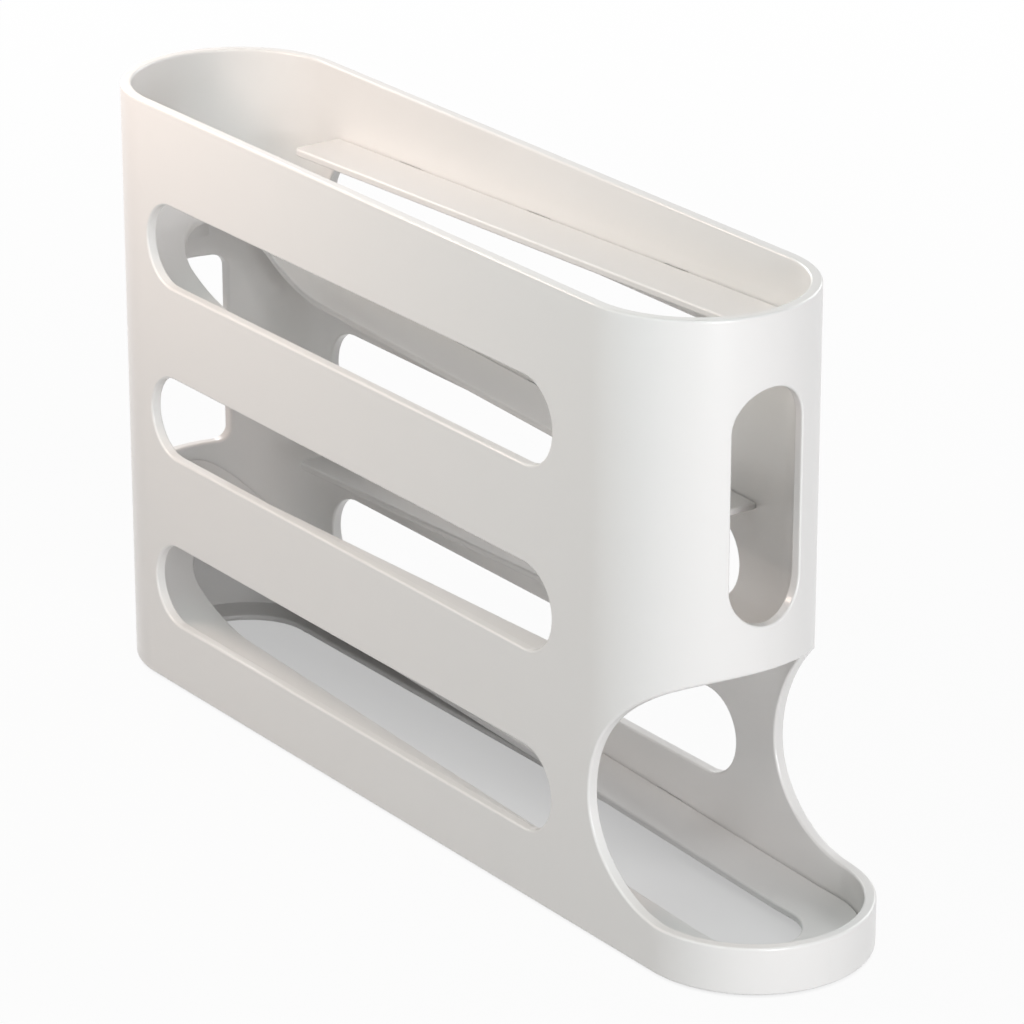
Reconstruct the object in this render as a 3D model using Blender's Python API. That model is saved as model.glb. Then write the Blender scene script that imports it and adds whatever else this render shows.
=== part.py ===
"""Rolling egg dispenser: a tall narrow hull in two halves with four sloping tracks inside.

Units are metres and +Z is up. Sizes are written along the hull from its back end (X), across it from
the middle plane (Y) and up from the hull's underside (Z). One empty carries all of it, so that the
finished part stands with its feet at Z = 0 and its box centred on the origin. The open tray is at +X.
"""
import math

import bmesh
import bpy

# Hull
body_length = 0.3395
end_radius = 0.0400
wall = 0.0040
tray_reach = 0.0338
tray_rim_height = 0.0165
lowest_slot_sill = 0.0242
tier_pitch = 0.06355
rim_lift = 0.00035

# Long slots in both sides
slot_height = 0.0299
slot_corner_radius = 0.01495
slot_back_margin = 0.0436
slot_front_margin = 0.0605

# Windows in the front and back curves
front_window_width = 0.0276
front_window_height = 0.0792
front_window_rise = 0.02375
back_window_width = 0.0320
back_window_height = 0.0718
back_window_drop = 0.0210
back_window_corner = 0.0050

# Notch over the tray
notch_overlap = 0.0002
notch_middle_height = 0.0495
notch_arch_length = 0.0552
notch_arch_height = 0.0485
notch_toe_length = 0.0380

# Base flange and feet
flange_width = 0.0120
flange_thickness = 0.0022
foot_radius = 0.0050
foot_thickness = 0.0018
foot_stand = 0.0008
foot_bevel = 0.0004

# Tracks
plate_thickness = 0.0026
vent_width = 0.0320
vent_wall_gap = 0.0150
tray_vent_gap = 0.0193
drop_gap = 0.0477
scoop_run = 0.0650
back_scoop_steepness = math.radians(70.6)
front_scoop_steepness = math.radians(45.6)
tray_floor_length = 0.0440
forward_fall = math.radians(2.30)
backward_fall = math.radians(1.75)

# How far the low end of each upper track lies under the sill of its own level
top_track_drop = 0.0248
second_track_drop = 0.0234
third_track_drop = 0.0156

# Tabs that hold the tracks in the walls
tab_length = 0.0120
tab_thickness = 0.0016
tab_reach = 0.0022
tab_end_margin = 0.0200
tabs_per_side = 3

# Seam between the halves
seam_gap = 0.0003
tongue_thickness = 0.0012
tongue_reach = 0.0010
tongue_margin = 0.0020

# Snap hooks behind the back scoops
hook_width = 0.0080
hook_thickness = 0.0016
hook_reach = 0.0090
hook_root = 0.0070
hook_barb = 0.0016
hook_barb_length = 0.0015
hook_stand_off = 0.0016
low_hook_height = 0.0180
high_hook_rise = 0.0080

# Clearances
fit_gap = 0.0003
overrun = 0.0050

# Facets
arc_step = math.radians(5.625)
disc_step = math.radians(11.25)

# Worked out from the sizes above
inner_radius = end_radius - wall
overall_length = body_length + tray_reach
shell_height = lowest_slot_sill + 3 * tier_pitch + rim_lift
front_curve_start = body_length - end_radius
notch_back = front_curve_start - notch_overlap
notch_toe_drop = notch_middle_height - tray_rim_height
track_radius = inner_radius - fit_gap
pocket_depth = tab_reach + fit_gap
front_window_sill = lowest_slot_sill + tier_pitch + front_window_rise
back_window_sill = lowest_slot_sill + tier_pitch - back_window_drop
arch_share = (notch_back + notch_arch_length - body_length) / notch_arch_length
arch_front_height = notch_middle_height + notch_arch_height * math.sqrt(1 - arch_share ** 2)

white_plastic_colour = (0.84, 0.82, 0.80, 1.0)
rubber_colour = (0.55, 0.54, 0.53, 1.0)


def clear_scene():
    """Remove every object that is in the file."""
    for item in list(bpy.data.objects):
        bpy.data.objects.remove(item, do_unlink=True)


def make_material(name, colour, roughness):
    """A Principled material with one colour and roughness."""
    material = bpy.data.materials.new(name)
    material.use_nodes = True
    shader = material.node_tree.nodes["Principled BSDF"]
    shader.inputs["Base Color"].default_value = colour
    shader.inputs["Roughness"].default_value = roughness
    shader.inputs["Metallic"].default_value = 0.0
    return material


# Outlines, as lists of points in a plane

def arc(centre, radii, start, end, step=arc_step):
    """Points along an arc of an ellipse, both ends included. Angles are in radians."""
    steps = max(2, round(abs(end - start) / step))
    points = []
    for index in range(steps + 1):
        angle = start + (end - start) * index / steps
        across = centre[0] + radii[0] * math.cos(angle)
        up = centre[1] + radii[1] * math.sin(angle)
        points.append((across, up))
    return points


def stadium(back, front, radius):
    """Plan outline with two straight sides and a half circle at each end."""
    half_turn = math.pi / 2
    points = arc((front - radius, 0), (radius, radius), -half_turn, half_turn)
    points += arc((back + radius, 0), (radius, radius), half_turn, 3 * half_turn)
    return points


def rounded_box(low, high, radius):
    """Outline of an upright rectangle with round corners."""
    left, bottom = low
    right, top = high
    quarter = math.pi / 2
    corners = (
        (right - radius, bottom + radius, -quarter),
        (right - radius, top - radius, 0),
        (left + radius, top - radius, quarter),
        (left + radius, bottom + radius, 2 * quarter),
    )
    points = []
    for across, up, start in corners:
        points += arc((across, up), (radius, radius), start, start + quarter)
    return drop_repeats(points)


def drop_repeats(points):
    """The same outline without points that fall on the one before them."""
    kept = []
    for point in points:
        if not kept or math.dist(point, kept[-1]) > fit_gap / 10:
            kept.append(point)
    if math.dist(kept[0], kept[-1]) < fit_gap / 10:
        kept.pop()
    return kept


# Solids

def place_point(axis, first, second, depth):
    """A point of an outline, at a depth along the axis that the outline is pushed along."""
    if axis == "X":
        return (depth, first, second)
    if axis == "Y":
        return (first, depth, second)
    return (first, second, depth)


def prism(name, outline, axis, low, high, material=None):
    """Push an outline along an axis into a solid object."""
    mesh = bmesh.new()
    corners = [mesh.verts.new(place_point(axis, first, second, low)) for first, second in outline]
    face = mesh.faces.new(corners)
    pushed = bmesh.ops.extrude_face_region(mesh, geom=[face])
    moved = [item for item in pushed["geom"] if isinstance(item, bmesh.types.BMVert)]
    bmesh.ops.translate(mesh, verts=moved, vec=place_point(axis, 0, 0, high - low))
    bmesh.ops.recalc_face_normals(mesh, faces=mesh.faces)
    data = bpy.data.meshes.new(name)
    mesh.to_mesh(data)
    mesh.free()
    return place(name, data, material)


def block(name, low, high):
    """A box between two corners, for cutting or joining."""
    outline = [(low[0], low[1]), (high[0], low[1]), (high[0], high[1]), (low[0], high[1])]
    return helper(prism(name, outline, "Z", low[2], high[2]))


def place(name, data, material):
    """Put a mesh into the scene under the empty that carries the part."""
    item = bpy.data.objects.new(name, data)
    bpy.context.scene.collection.objects.link(item)
    item.parent = bpy.data.objects["dispenser_origin"]
    if material:
        data.materials.append(material)
    return item


def helper(item):
    """Mark a cutter or a guide, which is no piece of the dispenser."""
    item.hide_render = True
    item.display_type = "WIRE"
    return item


def combine(target, other, operation):
    """Cut, join or intersect one solid with another."""
    change = target.modifiers.new(other.name, "BOOLEAN")
    change.operation = operation
    change.solver = "EXACT"
    change.object = other


def cut(target, cutters):
    """Take several cutters out of a solid."""
    for cutter in cutters:
        combine(target, cutter, "DIFFERENCE")


def join(target, others):
    """Add several solids to a solid."""
    for other in others:
        combine(target, other, "UNION")


# Cutters that both halves of the hull share

def notch_outline():
    """Side view of the notch: a quarter arch above its middle and a quarter toe below it."""
    arch_centre = (notch_back + notch_arch_length, notch_middle_height)
    arch = arc(arch_centre, (notch_arch_length, notch_arch_height), math.pi / 2, math.pi)
    toe_centre = (notch_back + notch_toe_length, notch_middle_height)
    toe = arc(toe_centre, (notch_toe_length, notch_toe_drop), math.pi, 3 * math.pi / 2)
    past_tray = overall_length + overrun
    return arch + toe[1:] + [(past_tray, tray_rim_height), (past_tray, arch[0][1])]


def relief_outline():
    """Plan of what the tray's longer outline has in front of the body's front curve."""
    half_turn = math.pi / 2
    curve = arc((front_curve_start, 0), (end_radius, end_radius), half_turn, -half_turn)
    past_tray = overall_length + overrun
    past_side = end_radius + overrun
    box = [(front_curve_start, -past_side), (past_tray, -past_side)]
    box += [(past_tray, past_side), (front_curve_start, past_side)]
    return curve + box


def hull_cutters():
    """Everything that is taken out of the hull before it is halved."""
    top = shell_height + overrun
    side = end_radius + overrun
    cutters = [
        prism("front_relief", relief_outline(), "Z", notch_middle_height, top),
        prism(
            "tray_space",
            stadium(wall, overall_length - wall, inner_radius),
            "Z",
            flange_thickness,
            notch_middle_height,
        ),
        prism("body_space", stadium(wall, body_length - wall, inner_radius), "Z", notch_middle_height, top),
        prism(
            "base_opening",
            stadium(wall + flange_width, overall_length - wall - flange_width, inner_radius - flange_width),
            "Z",
            -overrun,
            flange_thickness + overrun,
        ),
        prism("notch", notch_outline(), "Y", -side, side),
        prism("front_window", front_window_outline(), "X", front_curve_start, overall_length),
        prism("back_window", back_window_outline(), "X", -overrun, end_radius),
    ]
    for level in range(3):
        sill = lowest_slot_sill + level * tier_pitch
        low = (slot_back_margin, sill)
        high = (body_length - slot_front_margin, sill + slot_height)
        outline = rounded_box(low, high, slot_corner_radius)
        cutters.append(prism(f"side_slot_{level + 1}", outline, "Y", -side, side))
    return [helper(cutter) for cutter in cutters]


def front_window_outline():
    """The tall round-ended window, seen along the hull."""
    half = front_window_width / 2
    return rounded_box((-half, front_window_sill), (half, front_window_sill + front_window_height), half)


def back_window_outline():
    """The back window, seen along the hull."""
    half = back_window_width / 2
    top = back_window_sill + back_window_height
    return rounded_box((-half, back_window_sill), (half, top), back_window_corner)


# Tracks

def scoop_profile(ledge, start, steepness, outward):
    """Upper line of a scoop that curves up from the ledge line and meets an end wall.

    Outward is -1 for a scoop at the back wall and 1 for one at the front wall.
    """
    tilt = math.atan(abs(ledge["fall"]))
    radius = scoop_run / (math.sin(steepness) - math.sin(tilt))
    centre_along = start - outward * radius * math.sin(tilt)
    centre_up = ledge_height(ledge, start) + radius * math.cos(tilt)
    bottom = -math.pi / 2
    start_angle = bottom + outward * tilt
    end_angle = bottom + outward * steepness
    return arc((centre_along, centre_up), (radius, radius), start_angle, end_angle)


def ledge_height(ledge, along):
    """Height of a track's upper face at a place along the hull."""
    return ledge["low_height"] + ledge["fall"] * (along - ledge["low_end"])


def offset_below(line, distance):
    """The same line moved down by a distance at right angles to it."""
    moved = []
    for index, point in enumerate(line):
        before = line[max(index - 1, 0)]
        after = line[min(index + 1, len(line) - 1)]
        run = after[0] - before[0]
        rise = after[1] - before[1]
        length = math.hypot(run, rise)
        moved.append((point[0] + distance * rise / length, point[1] - distance * run / length))
    return moved


def track_levels():
    """Each track's ledge line, its upper line from back to front, and the ends of its vent."""
    back_drop = wall + drop_gap
    front_drop = body_length - wall - drop_gap
    back_scoop_start = wall + scoop_run
    front_scoop_start = body_length - wall - scoop_run
    vent_back = wall + vent_wall_gap
    vent_front = body_length - wall - vent_wall_gap

    top_low = lowest_slot_sill + 3 * tier_pitch - top_track_drop
    top = {"low_end": back_drop, "fall": math.tan(backward_fall), "low_height": top_low}
    top["line"] = [(back_drop, top_low), (body_length, ledge_height(top, body_length))]
    top["vent"] = (back_drop - vent_width, vent_front)

    second_low = lowest_slot_sill + 2 * tier_pitch - second_track_drop
    second = {"low_end": front_drop, "fall": -math.tan(forward_fall), "low_height": second_low}
    scoop = scoop_profile(second, back_scoop_start, back_scoop_steepness, -1)
    second["line"] = scoop[::-1] + [(front_drop, second_low)]
    second["vent"] = (vent_back, front_drop + vent_width)

    third_low = lowest_slot_sill + tier_pitch - third_track_drop
    third = {"low_end": back_drop, "fall": math.tan(backward_fall), "low_height": third_low}
    scoop = scoop_profile(third, front_scoop_start, front_scoop_steepness, 1)
    third["line"] = [(back_drop, third_low)] + scoop
    third["vent"] = (back_drop - vent_width, vent_front)

    floor_start = overall_length - wall - tray_floor_length
    bottom_low = flange_thickness + fit_gap + plate_thickness
    bottom = {"low_end": floor_start, "fall": -math.tan(forward_fall), "low_height": bottom_low}
    scoop = scoop_profile(bottom, back_scoop_start, back_scoop_steepness, -1)
    bottom["line"] = scoop[::-1] + [(floor_start, bottom_low), (overall_length, bottom_low)]
    bottom["vent"] = (vent_back, overall_length - wall - tray_vent_gap)
    return {"top_track": top, "second_track": second, "third_track": third, "bottom_track": bottom}


def tab_places():
    """Where the tabs of a track start, spread over the straight part of its ledge."""
    first = wall + scoop_run + tab_end_margin
    last = body_length - wall - scoop_run - tab_end_margin - tab_length
    return [first + (last - first) * index / (tabs_per_side - 1) for index in range(tabs_per_side)]


def tab_outline(level, start, gap):
    """Side view of one tab, or of the pocket that takes it when there is a gap."""
    middle = plate_thickness / 2
    half = tab_thickness / 2 + gap
    left = start - gap
    right = start + tab_length + gap
    corners = [(left, -half), (right, -half), (right, half), (left, half)]
    return [(along, ledge_height(level, along) - middle + up) for along, up in corners]


def make_track(name, level, material):
    """One sloping plate with a vent down its middle and tabs along both sides."""
    line = level["line"]
    outline = line + offset_below(line, plate_thickness)[::-1]
    track = prism(name, outline, "Y", -end_radius, end_radius, material)
    front = overall_length if name == "bottom_track" else body_length
    plan = stadium(wall + fit_gap, front - wall - fit_gap, track_radius)
    trim = helper(prism(f"{name}_plan", plan, "Z", -overrun, shell_height + overrun))
    combine(track, trim, "INTERSECT")
    reach = inner_radius + tab_reach
    for index, start in enumerate(tab_places()):
        outline = tab_outline(level, start, 0)
        join(track, [helper(prism(f"{name}_tab_{index + 1}", outline, "Y", -reach, reach))])
    back, front = level["vent"]
    vent = stadium(back, front, vent_width / 2)
    cut(track, [helper(prism(f"{name}_vent", vent, "Z", -overrun, shell_height + overrun))])
    return track


def track_pockets(name, level):
    """Blind pockets in both walls for the tabs of one track."""
    reach = inner_radius + pocket_depth
    pockets = []
    for index, start in enumerate(tab_places()):
        outline = tab_outline(level, start, fit_gap)
        pockets.append(helper(prism(f"{name}_pocket_{index + 1}", outline, "Y", -reach, reach)))
    return pockets


# Seam

def seam_stretches():
    """Middle of the wall, low end and high end of each stretch of wall that the seam runs up."""
    margin = tongue_margin
    back_middle = wall / 2
    front_middle = body_length - wall / 2
    tray_middle = overall_length - wall / 2
    front_window_top = front_window_sill + front_window_height
    back_window_top = back_window_sill + back_window_height
    return [
        (back_middle, flange_thickness + margin, back_window_sill - margin),
        (back_middle, back_window_top + margin, shell_height - margin),
        (front_middle, arch_front_height + margin, front_window_sill - margin),
        (front_middle, front_window_top + margin, shell_height - margin),
        (tray_middle, flange_thickness + margin, tray_rim_height - margin),
    ]


def seam_strip(name, gap):
    """The tongues of the near half, or with a gap the grooves that take them in the far half."""
    half = tongue_thickness / 2 + gap
    strips = []
    for index, (middle, low, high) in enumerate(seam_stretches()):
        near = (middle - half, -seam_gap / 2 - tongue_reach, low - gap)
        far = (middle + half, -seam_gap / 2 + tongue_reach + gap, high + gap)
        strips.append(block(f"{name}_{index + 1}", near, far))
    return strips


def hook_heights():
    """Low ends of the two hooks, both in the dead space behind a scoop."""
    return [low_hook_height, back_window_sill + back_window_height + high_hook_rise]


def seam_hooks():
    """Spring arms of the near half that reach over the seam and catch in the far half."""
    pieces = []
    arm_inner = wall + hook_stand_off + hook_thickness
    arm_outer = wall + hook_stand_off
    for index, low in enumerate(hook_heights()):
        high = low + hook_width
        root_low = (wall / 2, -hook_root, low)
        root_high = (arm_inner, -seam_gap, high)
        arm_low = (arm_outer, -hook_root / 2, low + fit_gap)
        arm_high = (arm_inner - fit_gap, hook_reach, high - fit_gap)
        barb_low = (arm_outer - hook_barb, hook_reach - hook_barb_length, low + 2 * fit_gap)
        barb_high = (arm_outer + fit_gap, hook_reach - fit_gap, high - 2 * fit_gap)
        pieces.append(block(f"hook_root_{index + 1}", root_low, root_high))
        pieces.append(block(f"hook_arm_{index + 1}", arm_low, arm_high))
        pieces.append(block(f"hook_barb_{index + 1}", barb_low, barb_high))
    return pieces


def hook_catches():
    """Notches in the far half's wall that the barbs drop into."""
    pieces = []
    arm_outer = wall + hook_stand_off
    for index, low in enumerate(hook_heights()):
        near = (arm_outer - hook_barb - fit_gap, hook_reach - hook_barb_length - fit_gap, low)
        far = (arm_outer + overrun, hook_reach + fit_gap, low + hook_width)
        pieces.append(block(f"hook_catch_{index + 1}", near, far))
    return pieces


# Feet

def foot_places():
    """Name and plan position of each foot, all on the middle of the base flange."""
    side = inner_radius - flange_width / 2
    places = []
    for end, along in (("back", end_radius), ("front", overall_length - end_radius)):
        for side_name, direction in (("near", -1), ("far", 1)):
            places.append((f"{end}_{side_name}_foot", along, direction * side))
    return places


def disc(along, across, radius):
    """Plan outline of a round pad or of its recess."""
    return drop_repeats(arc((along, across), (radius, radius), 0, 2 * math.pi, disc_step))


def make_foot(name, along, across, material):
    """A round pad set into the flange, standing a little proud of it."""
    outline = disc(along, across, foot_radius)
    pad = prism(name, outline, "Z", -foot_stand, foot_thickness - foot_stand, material)
    soften = pad.modifiers.new("soft_edge", "BEVEL")
    soften.width = foot_bevel
    soften.segments = 1
    soften.limit_method = "ANGLE"
    return pad


def foot_recesses():
    """Round recesses in the flange, open below."""
    depth = foot_thickness - foot_stand + fit_gap
    recesses = []
    for name, along, across in foot_places():
        outline = disc(along, across, foot_radius + fit_gap)
        recesses.append(helper(prism(f"{name}_recess", outline, "Z", -overrun, depth)))
    return recesses


# Hull halves

def make_shell(name, direction, cutters, pockets, material):
    """One half of the hull. The direction is -1 for the near half and 1 for the far half."""
    plan = stadium(0, overall_length, end_radius)
    shell = prism(name, plan, "Z", 0, shell_height, material)
    side = end_radius + overrun
    edges = sorted((direction * seam_gap / 2, -direction * side))
    low = (-overrun, edges[0], -overrun)
    high = (overall_length + overrun, edges[1], shell_height + overrun)
    cut(shell, [block(f"{name}_half", low, high)])
    cut(shell, cutters)
    if direction < 0:
        join(shell, seam_strip("seam_tongue", 0) + seam_hooks())
    else:
        cut(shell, seam_strip("seam_groove", fit_gap) + hook_catches())
    cut(shell, pockets)
    return shell


def shade(item):
    """Smooth shading with sharp edges kept where faces meet at an angle."""
    item.data.shade_smooth()
    item.data.set_sharp_from_angle(angle=math.radians(30))


def build():
    """Model the whole dispenser."""
    clear_scene()
    carrier = bpy.data.objects.new("dispenser_origin", None)
    carrier.location = (-overall_length / 2, 0, foot_stand)
    bpy.context.scene.collection.objects.link(carrier)
    white = make_material("white_plastic", white_plastic_colour, 0.35)
    rubber = make_material("soft_rubber", rubber_colour, 0.80)
    levels = track_levels()
    cutters = hull_cutters() + foot_recesses()
    pockets = []
    for name, level in levels.items():
        pockets += track_pockets(name, level)
    pieces = [
        make_shell("near_side_shell", -1, cutters, pockets, white),
        make_shell("far_side_shell", 1, cutters, pockets, white),
    ]
    pieces += [make_track(name, level, white) for name, level in levels.items()]
    pieces += [make_foot(name, along, across, rubber) for name, along, across in foot_places()]
    for piece in pieces:
        shade(piece)


build()
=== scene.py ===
# Rolling egg dispenser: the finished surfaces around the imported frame
import math

import bmesh
import bpy
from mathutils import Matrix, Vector


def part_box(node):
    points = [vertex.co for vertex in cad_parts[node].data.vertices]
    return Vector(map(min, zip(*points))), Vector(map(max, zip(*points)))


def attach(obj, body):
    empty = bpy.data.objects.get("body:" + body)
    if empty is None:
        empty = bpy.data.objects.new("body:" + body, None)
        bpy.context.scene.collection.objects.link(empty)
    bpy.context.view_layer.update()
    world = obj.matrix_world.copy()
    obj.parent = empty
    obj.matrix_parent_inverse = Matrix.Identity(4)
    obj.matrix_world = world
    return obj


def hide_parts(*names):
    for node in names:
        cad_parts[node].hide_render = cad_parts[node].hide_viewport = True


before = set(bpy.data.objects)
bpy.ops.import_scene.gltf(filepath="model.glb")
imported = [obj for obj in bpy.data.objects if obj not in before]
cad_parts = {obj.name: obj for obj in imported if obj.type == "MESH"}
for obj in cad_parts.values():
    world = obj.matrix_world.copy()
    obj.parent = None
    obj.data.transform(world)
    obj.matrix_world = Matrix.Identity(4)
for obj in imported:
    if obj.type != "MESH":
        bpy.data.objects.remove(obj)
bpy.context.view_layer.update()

print("frame loaded:", len(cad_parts), "nodes")

# The hull's reach, read from the frame
shellLow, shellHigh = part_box("near_side_shell")
backEnd = shellLow.x
underside = shellLow.z
hullLength = shellHigh.x - shellLow.x
hullHeight = shellHigh.z - shellLow.z
endRadius = -shellLow.y

quarterTurn = math.pi / 2
curveRun = endRadius * quarterTurn      # a quarter turn of the plan, along its outer face
straight = math.radians(.5)             # edges whose faces turn by less are dissolved
closeBy = 1e-6                          # points nearer than this are taken as one
hairline = 1e-7                         # points nearer than this to a plane lie in it


# Shader maths

class Tone:
    # one socket of a material, which sums and products can be written with
    def __init__(self, tree, socket):
        self.tree = tree
        self.socket = socket

    def join(self, operation, first, second):
        node = self.tree.nodes.new("ShaderNodeMath")
        node.operation = operation
        for place, value in enumerate((first, second)):
            if isinstance(value, Tone):
                self.tree.links.new(value.socket, node.inputs[place])
            else:
                node.inputs[place].default_value = value
        return Tone(self.tree, node.outputs[0])

    def __add__(self, other):
        return self.join("ADD", self, other)

    def __radd__(self, other):
        return self.join("ADD", other, self)

    def __sub__(self, other):
        return self.join("SUBTRACT", self, other)

    def __rsub__(self, other):
        return self.join("SUBTRACT", other, self)

    def __mul__(self, other):
        return self.join("MULTIPLY", self, other)

    def __rmul__(self, other):
        return self.join("MULTIPLY", other, self)


class Finish:
    # a material with its Principled shader, built up node by node
    def __init__(self, name):
        self.material = bpy.data.materials.new(name)
        self.material.use_nodes = True
        self.tree = self.material.node_tree
        self.shader = self.tree.nodes["Principled BSDF"]
        self.output = self.tree.nodes["Material Output"]

    def node(self, kind, settings, sockets, output=0):
        made = self.tree.nodes.new(kind)
        for name, value in settings.items():
            setattr(made, name, value)
        for name, value in sockets.items():
            self.feed(made.inputs[name], value)
        return Tone(self.tree, made.outputs[output])

    def noise(self, place, pattern):
        return self.node("ShaderNodeTexNoise", {}, {"Vector": place, **pattern})

    def blend(self, share, first, second):
        # a mix of two colours
        return self.node("ShaderNodeMix", {"data_type": "RGBA"}, {"Factor": share, 6: first, 7: second}, 2)

    def feed(self, socket, value):
        if isinstance(value, Tone):
            self.tree.links.new(value.socket, socket)
        else:
            socket.default_value = value

    def surface(self, **values):
        for name, value in values.items():
            self.feed(self.shader.inputs[name.replace("_", " ")], value)
        return self.material


# Moulded plastic of the hull and the tracks

plasticLook = {
    "hullColour": (.845, .835, .822, 1),
    "hullShadeColour": (.839, .828, .814, 1),
    "hullRoughness": .32,
    "trackColour": (.835, .826, .815, 1),
    "trackShadeColour": (.828, .818, .806, 1),
    "trackRoughness": .40,
    "roughnessSpread": .03,
    "ior": 1.5,
    "coatWeight": .35,
    "coatRoughness": .12,
    "clouds": {"Scale": 9, "Detail": 3},                        # slow drift of the moulding's tone
    "handling": {"Scale": 46, "Detail": 5, "Roughness": .6},    # patches that hands have polished
    "ripple": {"Scale": 85, "Detail": 1},                       # slow unevenness of a moulded wall
    "grain": {"Scale": 2600, "Detail": 2},                      # fine satin grain of the mould
    "rippleHeight": .000002,
    "grainHeight": .0000035,
}


def mouldedPlastic(name, kind):
    # kind is "hull" or "track", which differ a little in tone and gloss
    look = plasticLook
    finish = Finish(name)
    place = finish.node("ShaderNodeTexCoord", {}, {}, "Object")
    clouds = finish.noise(place, look["clouds"])
    handling = finish.noise(place, look["handling"])
    ripple = finish.noise(place, look["ripple"])
    grain = finish.noise(place, look["grain"])
    tone = finish.blend(clouds, look[kind + "ShadeColour"], look[kind + "Colour"])
    height = ripple * look["rippleHeight"] + grain * look["grainHeight"]
    bump = finish.node("ShaderNodeBump", {}, {"Height": height, "Strength": 1, "Distance": 1})
    spread = look["roughnessSpread"]
    gloss = (handling - .5) * spread + (grain - .5) * spread + look[kind + "Roughness"]
    return finish.surface(
        Base_Color=tone,
        Roughness=gloss,
        Normal=bump,
        Metallic=0,
        IOR=look["ior"],
        Coat_Weight=look["coatWeight"],
        Coat_Roughness=look["coatRoughness"],
    )


hullPlastic = mouldedPlastic("satin_white_plastic", "hull")
trackPlastic = mouldedPlastic("track_white_plastic", "track")


# Rubber of the feet

rubberLook = {
    "colour": (.55, .54, .53, 1),
    "dustColour": (.62, .61, .59, 1),
    "roughness": .78,
    "mottle": {"Scale": 420, "Detail": 4},      # dust that clings here and there
    "grain": {"Scale": 5200, "Detail": 2},
    "grainHeight": .00001,
}


def softRubber():
    look = rubberLook
    finish = Finish("soft_grey_rubber")
    place = finish.node("ShaderNodeTexCoord", {}, {}, "Object")
    mottle = finish.noise(place, look["mottle"])
    grain = finish.noise(place, look["grain"])
    tone = finish.blend(mottle, look["colour"], look["dustColour"])
    height = grain * look["grainHeight"]
    bump = finish.node("ShaderNodeBump", {}, {"Height": height, "Strength": 1, "Distance": 1})
    return finish.surface(Base_Color=tone, Roughness=look["roughness"], Normal=bump, Metallic=0)


footRubber = softRubber()
print("materials ready")


# Bending: a piece is modelled flat as (run, height or width, depth), then laid along its own surface

def arcPoints(centre, radii, start, end, steps):
    points = []
    for index in range(steps + 1):
        angle = start + (end - start) * index / steps
        points.append((centre[0] + radii[0] * math.cos(angle), centre[1] + radii[1] * math.sin(angle)))
    return points


def drawLoop(bm, points):
    corners = [bm.verts.new((run, up, 0)) for run, up in points]
    return [bm.edges.new((corner, corners[index - 1])) for index, corner in enumerate(corners)]


def longHole(back, front, middle, radius, steps):
    # a loop with round ends, whose ends turn about back and front
    points = arcPoints((front, middle), (radius, radius), -quarterTurn, quarterTurn, steps)
    return points + arcPoints((back, middle), (radius, radius), quarterTurn, 3 * quarterTurn, steps)


def fillFlat(bm):
    bmesh.ops.remove_doubles(bm, verts=bm.verts, dist=closeBy)
    bmesh.ops.triangle_fill(bm, edges=bm.edges, use_beauty=True, normal=(0, 0, 1))
    bmesh.ops.dissolve_limit(bm, angle_limit=straight, verts=bm.verts, edges=bm.edges)


def fillRings(bm, rings):
    # close each ring with one face, and return the middles of these faces
    faces = [bmesh.ops.contextual_create(bm, geom=ring)["faces"][0] for ring in rings]
    return [face.calc_center_median() for face in faces]


def thicken(bm, thickness):
    pushed = bmesh.ops.extrude_face_region(bm, geom=bm.faces[:])
    moved = [item for item in pushed["geom"] if isinstance(item, bmesh.types.BMVert)]
    bmesh.ops.translate(bm, verts=moved, vec=(0, 0, thickness))
    bmesh.ops.recalc_face_normals(bm, faces=bm.faces)


def sink(bm, mark, depth):
    # push the face whose middle is at the mark straight along the depth
    mouth = min(bm.faces, key=lambda face: (face.calc_center_median() - mark).length)
    sunk = bmesh.ops.extrude_discrete_faces(bm, faces=[mouth])["faces"][0]
    bmesh.ops.translate(bm, verts=sunk.verts, vec=(0, 0, depth))


def roundOff(bm, geom, affect, radius, segments):
    bmesh.ops.bevel(
        bm,
        geom=geom,
        offset=radius,
        offset_type="OFFSET",
        affect=affect,
        segments=segments,
        profile=.5,
        material=-1,
    )


def isFlat(face):
    # true for the two broad sides of the flat piece
    return abs(face.normal.z) > .999


def isCut(face):
    # true for the sides that stand square between them
    return abs(face.normal.z) < .001


def softenRims(bm, radius, segments, stays=None):
    # round every edge where a flat side meets a cut, apart from those that stay sharp
    bm.normal_update()
    rims = []
    for edge in bm.edges:
        flatSides = [isFlat(face) for face in edge.link_faces]
        if flatSides.count(True) == 1 and not (stays and stays(edge)):
            rims.append(edge)
    roundOff(bm, rims, "EDGES", radius, segments)


def cutAcross(bm, runs):
    # cut lines across the piece, so that it can follow a curve there
    for run in runs:
        everything = bm.verts[:] + bm.edges[:] + bm.faces[:]
        bmesh.ops.bisect_plane(bm, geom=everything, dist=hairline, plane_co=(run, 0, 0), plane_no=(1, 0, 0))


def flatNormal(vert, hidden):
    # shading direction before bending: exact on flats and on cuts, and in between on a rounded edge
    shown = [face for face in vert.link_faces if face not in hidden]
    for face in shown:
        if isFlat(face):
            return face.normal.copy()
    cuts = [face for face in shown if isCut(face)]
    return sum((face.normal for face in cuts or shown), Vector()).normalized()


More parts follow.
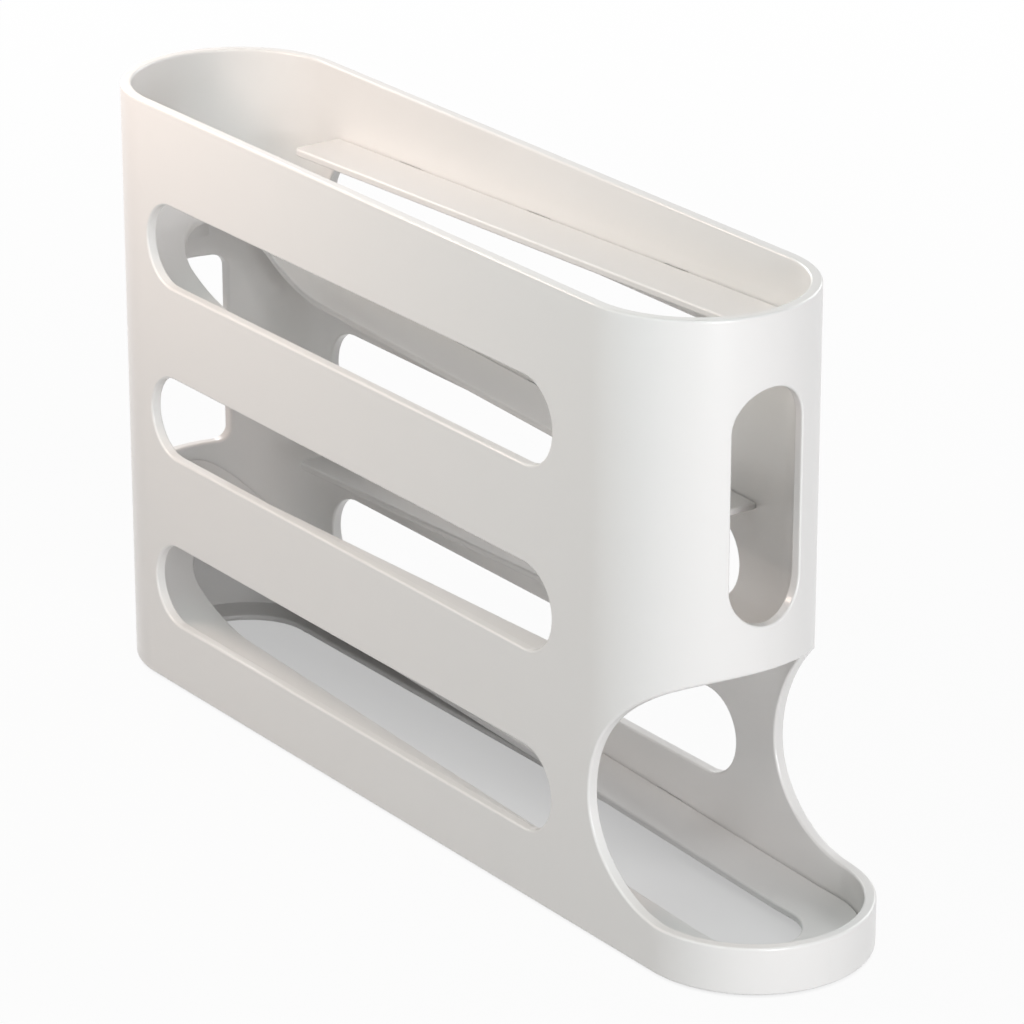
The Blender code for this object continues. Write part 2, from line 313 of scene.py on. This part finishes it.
def bend(bm, place, hidden):
    # lay the flat piece on its surface and work out its shading directions there
    reach = .0001           # how far to each side of a point the slopes are taken
    turned = 1              # -1 where the surface turns the piece inside out
    directions = []
    spots = []
    bm.normal_update()
    for vert in bm.verts:
        slopes = []
        for axis in range(3):
            step = Vector()
            step[axis] = reach
            slopes.append(place(vert.co + step) - place(vert.co - step))
        flat = flatNormal(vert, hidden)
        direction = slopes[1].cross(slopes[2]) * flat.x
        direction += slopes[2].cross(slopes[0]) * flat.y
        direction += slopes[0].cross(slopes[1]) * flat.z
        turned = 1 if slopes[0].cross(slopes[1]).dot(slopes[2]) > 0 else -1
        directions.append((direction * turned).normalized())
        spots.append(place(vert.co))
    for vert, spot in zip(bm.verts, spots):
        vert.co = spot
    if turned < 0:
        bmesh.ops.reverse_faces(bm, faces=bm.faces)
    return directions


def placeInScene(name, data):
    made = bpy.data.objects.new(name, data)
    bpy.context.scene.collection.objects.link(made)
    return made


def placeMesh(name, bm, material):
    data = bpy.data.meshes.new(name)
    bm.to_mesh(data)
    bm.free()
    data.materials.append(material)
    return placeInScene(name, data)


def finishPiece(bm, name, material, node, directions=None):
    sharpTurn = math.radians(35)        # where no shading directions are given, edges above it stay sharp
    piece = placeMesh(name, bm, material)
    piece.data.shade_smooth()
    if directions:
        piece.data.normals_split_custom_set_from_vertices(directions)
    else:
        piece.data.set_sharp_from_angle(angle=sharpTurn)
    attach(piece, "root")
    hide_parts(node)
    return piece


# Hull

hull = {
    "bodyLength": .3395,        # without the tray
    "wall": .0040,
    "trayRim": .0165,           # height of the tray's edge
    "slotCount": 3,
    "slotSill": .0242,          # height of the lowest slot's lower edge
    "tierPitch": .06355,        # from one level to the next
    "slotHeight": .0299,
    "slotBackMargin": .0436,
    "slotFrontMargin": .0605,
    "frontWindowWidth": .0276,
    "frontWindowHeight": .0792,
    "frontWindowRise": .02375,
    "backWindowWidth": .0320,
    "backWindowHeight": .0718,
    "backWindowDrop": .0210,
    "backWindowCorner": .0050,
    "notchOverlap": .0002,      # how far the notch reaches back past the start of the front curve
    "notchMiddle": .0495,       # height at which the notch is longest
    "archLength": .0552,
    "archRise": .0485,
    "toeLength": .0380,
    "edgeRadius": .0009,
    "edgeSegments": 4,
    "seamGap": .00002,          # the halves meet without a line
    "curveSteps": 24,           # for each quarter turn of the plan
    "cornerSteps": 16,
}
innerRadius = endRadius - hull["wall"]
notchBack = hull["bodyLength"] - endRadius - hull["notchOverlap"]


def slotLevel(level):
    # height of a slot's lower edge, from level 0 at the bottom
    return hull["slotSill"] + level * hull["tierPitch"]


frontWindowSill = slotLevel(1) + hull["frontWindowRise"]
backWindowSill = slotLevel(1) - hull["backWindowDrop"]


def outlineRun(length):
    # the outer plan line of one half, from the back seam to the front seam
    return 2 * curveRun + length - 2 * endRadius


bodyRun = outlineRun(hull["bodyLength"])
trayRun = outlineRun(hullLength)


def runAt(along, length):
    # how far along the outer plan line a place along the hull lies
    if along > length - endRadius:
        turn = math.asin(min(1, (along - length + endRadius) / endRadius))
        return outlineRun(length) - curveRun + endRadius * turn
    return along - endRadius + curveRun


def alongAt(run, length):
    # the place along the hull at a run along the front part of the outer plan line
    pastCurve = run - outlineRun(length) + curveRun
    if pastCurve > 0:
        return length - endRadius + endRadius * math.sin(pastCurve / endRadius)
    return run - curveRun + endRadius


def archHeight(along):
    # underside of the notch's arch at a place along the hull
    share = (notchBack + hull["archLength"] - along) / hull["archLength"]
    return hull["notchMiddle"] + hull["archRise"] * math.sqrt(max(0, 1 - share * share))


def fade(value, full, gone):
    # 1 up to full, then smoothly down to 0 at gone
    share = min(1, max(0, (gone - value) / (gone - full)))
    return share * share * (3 - 2 * share)


def hullPlace(side):
    # the function that lays a flat panel on one half of the hull
    windowReach = math.radians(26)      # the windows are cut straight along the hull
    windowFade = math.radians(52)
    archFade = .011

    def place(spot):
        run, height, depth = spot
        length = hull["bodyLength"] if height > hull["notchMiddle"] else hullLength
        total = outlineRun(length)
        atFront = run > total / 2
        fromSeam = total - run if atFront else run
        share = depth / hull["wall"]
        lift = 0
        if fromSeam < curveRun:
            turn = fromSeam / endRadius
            cutTurn = math.asin(max(-1, min(1, endRadius / innerRadius * math.sin(turn))))
            innerTurn = turn + (cutTurn - turn) * fade(abs(turn), windowReach, windowFade)
            outerAlong = endRadius - endRadius * math.cos(turn)
            innerAlong = endRadius - innerRadius * math.cos(innerTurn)
            outerAcross = endRadius * math.sin(turn)
            innerAcross = innerRadius * math.sin(innerTurn)
            if atFront and height > hull["notchMiddle"]:
                outerArch = archHeight(length - outerAlong)
                innerArch = archHeight(length - innerAlong)
                lift = (innerArch - outerArch) * share * fade(height - outerArch, 0, archFade)
        else:
            outerAlong = innerAlong = fromSeam - curveRun + endRadius
            outerAcross, innerAcross = endRadius, innerRadius
        along = outerAlong + (innerAlong - outerAlong) * share
        across = outerAcross + (innerAcross - outerAcross) * share
        if atFront:
            along = length - along
        return Vector((backEnd + along, side * across, underside + height + lift))

    return place


def halfWindow(width, low, height, corner):
    # half of a round-cornered window, from the seam at its sill to the seam at its top
    half = width / 2
    high = low + height
    steps = hull["cornerSteps"]
    points = [(0, low)]
    points += arcPoints((half - corner, low + corner), (corner, corner), -quarterTurn, 0, steps)
    points += arcPoints((half - corner, high - corner), (corner, corner), 0, quarterTurn, steps)
    points.append((0, high))
    return [(endRadius * math.asin(across / endRadius), up) for across, up in points]


def panelOutline():
    # one half of the hull laid flat, seen from outside
    gap = hull["seamGap"] / 2
    steps = hull["curveSteps"]
    points = [(gap, 0), (trayRun - gap, 0), (trayRun - gap, hull["trayRim"])]

    toeMiddle = (notchBack + hull["toeLength"], hull["notchMiddle"])
    toeDrop = hull["notchMiddle"] - hull["trayRim"]
    toe = arcPoints(toeMiddle, (hull["toeLength"], toeDrop), 3 * quarterTurn, 2 * quarterTurn, steps)
    points += [(runAt(along, hullLength), up) for along, up in toe]

    archStart = runAt(notchBack, hull["bodyLength"])
    for index in range(1, steps + 1):
        share = 1 - math.cos(quarterTurn * index / steps)
        run = archStart + (bodyRun - gap - archStart) * share
        points.append((run, archHeight(alongAt(run, hull["bodyLength"]))))

    width = hull["frontWindowWidth"]
    window = halfWindow(width, frontWindowSill, hull["frontWindowHeight"], width / 2)
    points += [(bodyRun - max(run, gap), up) for run, up in window]
    points += [(bodyRun - gap, hullHeight), (gap, hullHeight)]

    width = hull["backWindowWidth"]
    window = halfWindow(width, backWindowSill, hull["backWindowHeight"], hull["backWindowCorner"])
    points += [(max(run, gap), up) for run, up in reversed(window)]
    return points


def slotOutline(level):
    radius = hull["slotHeight"] / 2
    back = runAt(hull["slotBackMargin"] + radius, hull["bodyLength"])
    front = runAt(hull["bodyLength"] - hull["slotFrontMargin"] - radius, hull["bodyLength"])
    return longHole(back, front, slotLevel(level) + radius, radius, 2 * hull["cornerSteps"])


def atSeam(item):
    # true for an edge or a face of the panel that lies in the seam
    runs = [vert.co.x for vert in item.verts]
    height = item.verts[0].co.y
    seam = bodyRun if height > hull["notchMiddle"] else trayRun
    atBack = max(runs) < hull["seamGap"]
    atFront = min(runs) > seam - hull["seamGap"]
    return atBack or atFront


def curveLines():
    # where the panel is cut so that it can follow the plan's round ends
    lines = set()
    for start in (0, bodyRun - curveRun, trayRun - curveRun):
        for index in range(hull["curveSteps"] + 1):
            lines.add(start + curveRun * index / hull["curveSteps"])
    return sorted(lines)


# Tracks

tracks = {
    "thickness": .0026,
    "fitGap": .0003,            # between a track and the walls
    "dropGap": .0477,           # the opening at a track's low end
    "scoopRun": .0650,          # length of the curve at a track's closed end
    "backSteepness": math.radians(70.6),        # how steep a scoop is where it meets the end wall
    "frontSteepness": math.radians(45.6),
    "forwardFall": math.radians(2.30),          # slopes that keep the contents rolling
    "backwardFall": math.radians(1.75),
    "topDrop": .0248,           # how far the low end lies below a slot's lower edge
    "secondDrop": .0234,
    "thirdDrop": .0156,
    "trayFloor": .0440,         # length of the level part under the tray
    "ventWidth": .0320,
    "ventWallGap": .0150,
    "trayVentGap": .0193,
    "edgeRadius": .0007,
    "edgeSegments": 3,
    "tipRadius": .0030,
    "tipSegments": 8,
    "scoopSteps": 24,
    "tabLength": .0120,
    "tabThickness": .0016,
    "tabReach": .0022,
    "tabEndMargin": .0200,
    "tabsPerSide": 3,
}
trackRadius = innerRadius - tracks["fitGap"]
ventHalf = tracks["ventWidth"] / 2
backDrop = hull["wall"] + tracks["dropGap"]
frontDrop = hull["bodyLength"] - hull["wall"] - tracks["dropGap"]
ventBack = hull["wall"] + tracks["ventWallGap"]
ventFront = hull["bodyLength"] - hull["wall"] - tracks["ventWallGap"]


def ledge(lowEnd, lowHeight, slope):
    # a straight fall: flatFrom, where it levels out, is out of reach until it is set
    return {"lowEnd": lowEnd, "lowHeight": lowHeight, "slope": slope, "flatFrom": 2 * hullLength}


def addScoop(track, outward, steepness):
    # a curve up to an end wall: outward is -1 at the back wall and 1 at the front wall
    start = hull["wall"] + tracks["scoopRun"]
    if outward > 0:
        start = hull["bodyLength"] - start
    tilt = math.atan(abs(track["slope"]))
    radius = tracks["scoopRun"] / (math.sin(steepness) - math.sin(tilt))
    height = track["lowHeight"] + track["slope"] * (start - track["lowEnd"])
    track["scoop"] = {
        "start": start,
        "outward": outward,
        "radius": radius,
        "along": start - outward * radius * math.sin(tilt),
        "height": height + radius * math.cos(tilt),
        "tilt": tilt,
        "steepness": steepness,
    }


def trackHeights(track, along):
    # heights of the upper and the lower face at a place along the hull
    thickness = tracks["thickness"]
    scoop = track.get("scoop")
    if scoop and (along - scoop["start"]) * scoop["outward"] > 0:
        reach = along - scoop["along"]
        upper = scoop["height"] - math.sqrt(scoop["radius"] ** 2 - reach ** 2)
        lower = scoop["height"] - math.sqrt((scoop["radius"] + thickness) ** 2 - reach ** 2)
        return upper, lower
    if along > track["flatFrom"]:
        return track["lowHeight"], track["lowHeight"] - thickness
    upper = track["lowHeight"] + track["slope"] * (along - track["lowEnd"])
    return upper, upper - thickness / math.cos(math.atan(track["slope"]))


def trackPlace(track):
    # the function that lays a flat plate on a track's own curve
    def place(spot):
        along, across, depth = spot
        upper, lower = trackHeights(track, along)
        height = upper + (lower - upper) * depth / tracks["thickness"]
        return Vector((backEnd + along, across, underside + height))

    return place


def forkOutline(end, ventEnd, wallEnd, outward):
    # plan of a track that is open at its low end: outward is the way towards its closed end
    ventMiddle = (ventEnd - outward * ventHalf, 0)
    wallMiddle = (wallEnd - outward * trackRadius, 0)
    lean = 0 if outward > 0 else 2 * quarterTurn
    near, far = lean - quarterTurn, lean + quarterTurn
    points = [(end, ventHalf * outward)]
    points += arcPoints(ventMiddle, (ventHalf, ventHalf), far, near, 2 * hull["cornerSteps"])
    points += [(end, -ventHalf * outward), (end, -trackRadius * outward)]
    points += arcPoints(wallMiddle, (trackRadius, trackRadius), near, far, 2 * hull["curveSteps"])
    points.append((end, trackRadius * outward))
    return points


def roundTips(bm, end):
    # round the tips of a fork where the vent runs out of its low end
    tips = [v for v in bm.verts if abs(v.co.x - end) < closeBy and abs(abs(v.co.y) - ventHalf) < closeBy]
    roundOff(bm, tips, "VERTICES", tracks["tipRadius"], tracks["tipSegments"])


def addBlock(bm, middle, size):
    made = bmesh.ops.create_cube(bm, size=1)["verts"]
    bmesh.ops.scale(bm, verts=made, vec=size)
    bmesh.ops.translate(bm, verts=made, vec=middle)


def tabStarts():
    count = tracks["tabsPerSide"]
    first = hull["wall"] + tracks["scoopRun"] + tracks["tabEndMargin"]
    last = hull["bodyLength"] - first - tracks["tabLength"]
    return [first + (last - first) * index / (count - 1) for index in range(count)]


def addTabs(bm):
    # short tongues along both sides, which sit in pockets in the walls
    inside = trackRadius - tracks["thickness"] / 2
    outside = innerRadius + tracks["tabReach"]
    size = (tracks["tabLength"], outside - inside, tracks["tabThickness"])
    for start in tabStarts():
        for side in (-1, 1):
            across = side * (outside + inside) / 2
            addBlock(bm, (start + tracks["tabLength"] / 2, across, tracks["thickness"] / 2), size)


def scoopLines(scoop):
    lines = []
    for index in range(tracks["scoopSteps"] + 1):
        turn = scoop["tilt"] + (scoop["steepness"] - scoop["tilt"]) * index / tracks["scoopSteps"]
        lines.append(scoop["along"] + scoop["outward"] * scoop["radius"] * math.sin(turn))
    return lines


def makeTrack(name, node, track, loops, openEnd=None):
    # openEnd is where the low end of a fork lies, and a closed loop has none
    bm = bmesh.new()
    for points in loops:
        drawLoop(bm, points)
    fillFlat(bm)
    if openEnd is not None:
        roundTips(bm, openEnd)
    thicken(bm, tracks["thickness"])
    softenRims(bm, tracks["edgeRadius"], tracks["edgeSegments"])
    if "scoop" in track:
        cutAcross(bm, scoopLines(track["scoop"]))
    if track["flatFrom"] < hullLength:
        cutAcross(bm, [track["flatFrom"]])
    addTabs(bm)
    directions = bend(bm, trackPlace(track), set())
    return finishPiece(bm, name, trackPlastic, node, directions)


bodyBackWall = hull["wall"] + tracks["fitGap"]
bodyFrontWall = hull["bodyLength"] - bodyBackWall
trayFrontWall = hullLength - bodyBackWall

forward = -math.tan(tracks["forwardFall"])
backward = math.tan(tracks["backwardFall"])
topLedge = ledge(backDrop, slotLevel(3) - tracks["topDrop"], backward)
secondLedge = ledge(frontDrop, slotLevel(2) - tracks["secondDrop"], forward)
thirdLedge = ledge(backDrop, slotLevel(1) - tracks["thirdDrop"], backward)
addScoop(secondLedge, -1, tracks["backSteepness"])
addScoop(thirdLedge, 1, tracks["frontSteepness"])

# the bottom track rests on the base flange and levels out under the tray
flange = {
    "width": .0120,
    "thickness": .0022,
    "edgeRadius": .0006,
    "edgeSegments": 3,
}
trayFloorStart = hullLength - hull["wall"] - tracks["trayFloor"]
trayFloorHeight = flange["thickness"] + tracks["fitGap"] + tracks["thickness"]
bottomLedge = ledge(trayFloorStart, trayFloorHeight, forward)
bottomLedge["flatFrom"] = trayFloorStart
addScoop(bottomLedge, -1, tracks["backSteepness"])

backFork = forkOutline(backDrop, ventFront, bodyFrontWall, 1)
frontFork = forkOutline(frontDrop, ventBack, bodyBackWall, -1)
trayVentEnd = hullLength - hull["wall"] - tracks["trayVentGap"]
bottomLoops = [
    longHole(bodyBackWall + trackRadius, trayFrontWall - trackRadius, 0, trackRadius, 2 * hull["curveSteps"]),
    longHole(ventBack + ventHalf, trayVentEnd - ventHalf, 0, ventHalf, 2 * hull["cornerSteps"]),
]
makeTrack("top_track_plate", "top_track", topLedge, [backFork], backDrop)
makeTrack("second_track_plate", "second_track", secondLedge, [frontFork], frontDrop)
makeTrack("third_track_plate", "third_track", thirdLedge, [backFork], backDrop)
makeTrack("bottom_track_plate", "bottom_track", bottomLedge, bottomLoops)
print("tracks made")


# Hull halves, with blind pockets that take the tabs

def tabPocket(track, start):
    # outline of the pocket for a tab, on the flat panel of a wall
    gap = tracks["fitGap"]
    points = []
    for along, turn in ((start - gap, -1), (start + tracks["tabLength"] + gap, 1)):
        upper, lower = trackHeights(track, along)
        half = (upper - lower) * tracks["tabThickness"] / tracks["thickness"] / 2 + gap
        run = runAt(along, hull["bodyLength"])
        points += [(run, (upper + lower) / 2 + turn * half), (run, (upper + lower) / 2 - turn * half)]
    return points


def makeHalf(name, side, node):
    bm = bmesh.new()
    drawLoop(bm, panelOutline())
    for level in range(hull["slotCount"]):
        drawLoop(bm, slotOutline(level))
    ledges = (topLedge, secondLedge, thirdLedge, bottomLedge)
    rings = [drawLoop(bm, tabPocket(track, start)) for track in ledges for start in tabStarts()]
    fillFlat(bm)
    marks = fillRings(bm, rings)
    thicken(bm, hull["wall"])
    for mark in marks:
        sink(bm, mark + Vector((0, 0, hull["wall"])), -(tracks["tabReach"] + tracks["fitGap"]))
    outerVerts = [vert for vert in bm.verts if abs(vert.co.z) < hairline]
    outerEdges = [edge for edge in bm.edges if all(abs(vert.co.z) < hairline for vert in edge.verts)]
    bmesh.ops.dissolve_limit(bm, angle_limit=straight, verts=outerVerts, edges=outerEdges)

    def staysSharp(edge):
        middle = (edge.verts[0].co + edge.verts[1].co) / 2
        for mark in marks:
            fromMark = middle - mark
            if abs(fromMark.x) < tracks["tabLength"] and abs(fromMark.y) < tracks["tabThickness"]:
                return True
        return atSeam(edge)

    softenRims(bm, hull["edgeRadius"], hull["edgeSegments"], staysSharp)
    cutAcross(bm, curveLines())
    hidden = {face for face in bm.faces if atSeam(face)}
    directions = bend(bm, hullPlace(side), hidden)
    return finishPiece(bm, name, hullPlastic, node, directions)


makeHalf("near_side_wall", -1, "near_side_shell")
makeHalf("far_side_wall", 1, "far_side_shell")
print("hull halves made")


# Base flange and feet

feet = {
    "recessGap": .0003,
    "recessDepth": .0013,
    "edgeRadius": .0004,
    "edgeSegments": 3,
    "steps": 48,
    "dishWidth": .0012,
    "dishDepth": .00015,
}


def makeFlange(name, side, node):
    footNodes = [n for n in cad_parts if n.endswith("near_foot" if side < 0 else "far_foot")]
    inner = innerRadius - flange["width"]
    reach = innerRadius + hull["edgeRadius"]        # fills the rounded foot of the wall
    backMiddle = endRadius
    frontMiddle = hullLength - endRadius
    gap = hull["seamGap"] / 2
    steps = hull["curveSteps"]
    points = arcPoints((backMiddle, 0), (reach, reach), 2 * quarterTurn, quarterTurn, steps)
    points += arcPoints((frontMiddle, 0), (reach, reach), quarterTurn, 0, steps)
    points += arcPoints((frontMiddle, 0), (inner, inner), 0, quarterTurn, steps)
    points += arcPoints((backMiddle, 0), (inner, inner), quarterTurn, 2 * quarterTurn, steps)
    bm = bmesh.new()
    drawLoop(bm, [(along, max(across, gap)) for along, across in points])
    rings = []
    for footNode in footNodes:
        low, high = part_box(footNode)
        middle = ((low.x + high.x) / 2 - backEnd, abs(low.y + high.y) / 2)
        radius = (high.x - low.x) / 2 + feet["recessGap"]
        around = arcPoints(middle, (radius, radius), 0, 4 * quarterTurn, feet["steps"])
        rings.append(drawLoop(bm, around[:-1]))
    bmesh.ops.triangle_fill(bm, edges=bm.edges, use_beauty=True, normal=(0, 0, 1))
    marks = fillRings(bm, rings)
    thicken(bm, flange["thickness"])
    for mark in marks:
        sink(bm, mark, feet["recessDepth"])

    def staysSharp(edge):
        # only the flange's inner edge is rounded
        for vert in edge.verts:
            nearest = min(max(vert.co.x, backMiddle), frontMiddle)
            if abs(math.hypot(vert.co.x - nearest, vert.co.y) - inner) > 10 * closeBy:
                return True
        return False

    softenRims(bm, flange["edgeRadius"], flange["edgeSegments"], staysSharp)
    bmesh.ops.dissolve_limit(bm, angle_limit=straight, verts=bm.verts, edges=bm.edges)
    bmesh.ops.translate(bm, verts=bm.verts, vec=(backEnd, 0, underside))
    bmesh.ops.scale(bm, verts=bm.verts, vec=(1, side, 1))
    bmesh.ops.recalc_face_normals(bm, faces=bm.faces)
    return finishPiece(bm, name, hullPlastic, node)


def makeFoot(node):
    low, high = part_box(node)
    bm = bmesh.new()
    bmesh.ops.create_circle(bm, cap_ends=True, segments=feet["steps"], radius=(high.x - low.x) / 2)
    thicken(bm, high.z - low.z)
    softenRims(bm, feet["edgeRadius"], feet["edgeSegments"])
    base = min(bm.faces, key=lambda face: face.calc_center_median().z)
    bmesh.ops.inset_region(bm, faces=[base], thickness=feet["dishWidth"], depth=0)
    bmesh.ops.inset_region(bm, faces=[base], thickness=feet["dishDepth"], depth=-feet["dishDepth"])
    bmesh.ops.translate(bm, verts=bm.verts, vec=((low.x + high.x) / 2, (low.y + high.y) / 2, low.z))
    return finishPiece(bm, node.replace("foot", "pad"), footRubber, node)


# Snap hooks that hold the halves together, in the dead space behind the back scoops

snapHooks = {
    "width": .0080,
    "thickness": .0016,
    "standOff": .0016,          # clear of the back wall
    "root": .0070,              # how far back from the seam a hook is fixed
    "reach": .0090,             # how far it reaches past the seam
    "barb": .0016,
    "barbLength": .0015,
    "lowHeight": .0180,
    "highRise": .0080,          # above the back window
    "edgeRadius": .0003,
    "edgeSegments": 2,
}


def addBlockBetween(bm, low, high):
    size = [top - bottom for bottom, top in zip(low, high)]
    middle = [(top + bottom) / 2 for bottom, top in zip(low, high)]
    addBlock(bm, middle, size)


def makeSnapHooks(name, node):
    gap = tracks["fitGap"]
    outside = hull["wall"] + snapHooks["standOff"]
    inside = outside + snapHooks["thickness"]
    windowTop = backWindowSill + hull["backWindowHeight"]
    tip = snapHooks["reach"]
    bm = bmesh.new()
    for low in (snapHooks["lowHeight"], windowTop + snapHooks["highRise"]):
        high = low + snapHooks["width"]
        addBlockBetween(bm, (hull["wall"] / 2, -snapHooks["root"], low), (inside, -gap, high))
        addBlockBetween(bm, (outside, -snapHooks["root"] / 2, low + gap), (inside - gap, tip, high - gap))
        addBlockBetween(
            bm,
            (outside - snapHooks["barb"], tip - snapHooks["barbLength"], low + 2 * gap),
            (outside + gap, tip - gap, high - 2 * gap),
        )
    roundOff(bm, bm.edges[:], "EDGES", snapHooks["edgeRadius"], snapHooks["edgeSegments"])
    bmesh.ops.translate(bm, verts=bm.verts, vec=(backEnd, 0, underside))
    return finishPiece(bm, name, hullPlastic, node)


makeFlange("near_base_flange", -1, "near_side_shell")
makeFlange("far_base_flange", 1, "far_side_shell")
for node in sorted(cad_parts):
    if node.endswith("_foot"):
        makeFoot(node)
makeSnapHooks("seam_snap_hooks", "near_side_shell")
print("flange, feet and hooks made")


# Floor, light and camera

stageLook = {
    "floorSize": 14,
    "floorColour": (.5, .5, .5, 1),
    "floorRoughness": .9,
    # painted shade: under the hull the floor keeps less of its plain white glow, so it shows darker there;
    # the darkness let through is the floor's real shadow, but the footprint-shaped mask that lets more of it
    # through is painted
    "whiteUnderPaintedShade": .45,          # how much of the floor's tone is plain white to the camera, under the hull
    "whiteNear": .95,           # beside it
    "whiteFar": 1,              # and beyond the reach of its shadow
    "footSoftness": .006,       # how far inside the hull's outline the tone under it begins
    "nearReach": .2,            # both measured from the middle line of the hull
    "farReach": .95,
    "worldColour": (1, 1, 1, 1),
    "worldStrength": .22,
}


def seenDirectly(finish):
    # 1 for what the camera sees straight, mirrored in a gloss or through a clear piece
    camera = finish.node("ShaderNodeLightPath", {}, {}, "Is Camera Ray")
    glossy = finish.node("ShaderNodeLightPath", {}, {}, "Is Glossy Ray")
    through = finish.node("ShaderNodeLightPath", {}, {}, "Is Transmission Ray")
    return camera + glossy + through


def makeFloor():
    bm = bmesh.new()
    bmesh.ops.create_grid(bm, x_segments=1, y_segments=1, size=stageLook["floorSize"] / 2)
    finish = Finish("pale_floor")
    finish.surface(Base_Color=stageLook["floorColour"], Roughness=stageLook["floorRoughness"], Metallic=0)
    white = finish.node("ShaderNodeEmission", {}, {"Color": (1, 1, 1, 1), "Strength": 1})
    ground = Tone(finish.tree, finish.shader.outputs[0])
    place = finish.node("ShaderNodeTexCoord", {}, {}, "Object")
    mirrored = finish.node("ShaderNodeVectorMath", {"operation": "ABSOLUTE"}, {0: place})
    middleLine = (hullLength / 2 - endRadius, 0, 0)
    beyond = finish.node("ShaderNodeVectorMath", {"operation": "SUBTRACT"}, {0: mirrored, 1: middleLine})
    outward = finish.node("ShaderNodeVectorMath", {"operation": "MAXIMUM"}, {0: beyond, 1: (0, 0, 0)})
    distance = finish.node("ShaderNodeVectorMath", {"operation": "LENGTH"}, {0: outward}, "Value")

    def rise(start, end, low, high):
        limits = {"Value": distance, "From Min": start, "From Max": end, "To Min": low, "To Max": high}
        return finish.node("ShaderNodeMapRange", {}, limits)

    near = stageLook["whiteNear"]
    # painted shade under the hull: the white share drops inside the hull's footprint, so the floor shows
    # darker where its shadow falls
    whiteShareWithPaintedShade = rise(endRadius - stageLook["footSoftness"], endRadius, stageLook["whiteUnderPaintedShade"], near)
    farOff = rise(stageLook["nearReach"], stageLook["farReach"], 0, stageLook["whiteFar"] - near)
    share = seenDirectly(finish) * (whiteShareWithPaintedShade + farOff)
    mixed = finish.node("ShaderNodeMixShader", {}, {0: share, 1: ground, 2: white})
    finish.feed(finish.output.inputs["Surface"], mixed)
    floor = placeMesh("floor", bm, finish.material)


class Sky(Finish):
    # the world's own node tree
    def __init__(self, name):
        world = bpy.data.worlds.new(name)
        bpy.context.scene.world = world
        world.use_nodes = True
        self.tree = world.node_tree
        self.tree.nodes.clear()
        self.output = self.tree.nodes.new("ShaderNodeOutputWorld")


def makeWorld():
    sky = Sky("studio")
    white = sky.node("ShaderNodeBackground", {}, {"Color": (1, 1, 1, 1), "Strength": 1})
    light = {"Color": stageLook["worldColour"], "Strength": stageLook["worldStrength"]}
    glow = sky.node("ShaderNodeBackground", {}, light)
    mixed = sky.node("ShaderNodeMixShader", {}, {0: seenDirectly(sky), 1: glow, 2: white})
    sky.feed(sky.output.inputs["Surface"], mixed)


lamps = {
    "front_softbox": {
        "place": (1.17, -.25, .25),
        "size": (.25, .45),
        "power": 4.35,
        "colour": (.985, .985, 1),
    },
    "front_strip": {
        "place": (1.14, -.36, .22),
        "size": (.15, .40),
        "power": 2.55,
        "colour": (.985, .985, 1),
    },
    "overhead_strip": {
        "place": (.05, -.40, .60),
        "size": (.45, .25),
        "power": .74,
        "colour": (.84, 1, .965),
    },
    "edge_lamp": {
        "place": (.80, -.36, 1.10),
        "size": (.18, .18),
        "power": 1.75,
        "colour": (1, 1, 1),
    },
    "corner_lamp": {
        "place": (-.22, -.215, .375),
        "size": (.11, .11),
        "power": .60,
        "colour": (1, .80, .70),
    },
    "far_softbox": {
        "place": (-.30, 1.40, .90),
        "size": (.9, .9),
        "power": 8,
        "colour": (1, 1, 1),
    },
    "back_softbox": {
        "place": (-1.40, .25, .80),
        "size": (.7, .7),
        "power": 7.5,
        "colour": (1, 1, 1),
    },
}


def makeLamps():
    target = Vector((0, 0, hullHeight / 2))
    for name, plan in lamps.items():
        light = bpy.data.lights.new(name, "AREA")
        light.shape = "RECTANGLE"
        light.size, light.size_y = plan["size"]
        light.energy = plan["power"]
        light.color = plan["colour"]
        lamp = placeInScene(name, light)
        lamp.location = plan["place"]
        lamp.rotation_euler = (lamp.location - target).to_track_quat("Z", "Y").to_euler()


view = {
    "place": (1.28925, -.9302, .7394),
    "azimuth": 53.83,           # degrees from -Y towards +X
    "elevation": 21.88,
    "lens": 179.6,
    "sensor": 36,
}


def makeCamera():
    azimuth = math.radians(view["azimuth"])
    elevation = math.radians(view["elevation"])
    back = Vector((
        math.sin(azimuth) * math.cos(elevation),
        -math.cos(azimuth) * math.cos(elevation),
        math.sin(elevation),
    ))
    data = bpy.data.cameras.new("camera")
    data.lens = view["lens"]
    data.sensor_width = view["sensor"]
    camera = placeInScene("camera", data)
    camera.location = view["place"]
    camera.rotation_euler = back.to_track_quat("Z", "Y").to_euler()
    bpy.context.scene.camera = camera


makeFloor()
makeWorld()
makeLamps()
makeCamera()
bpy.context.scene.view_settings.view_transform = "Standard"
print("studio ready")
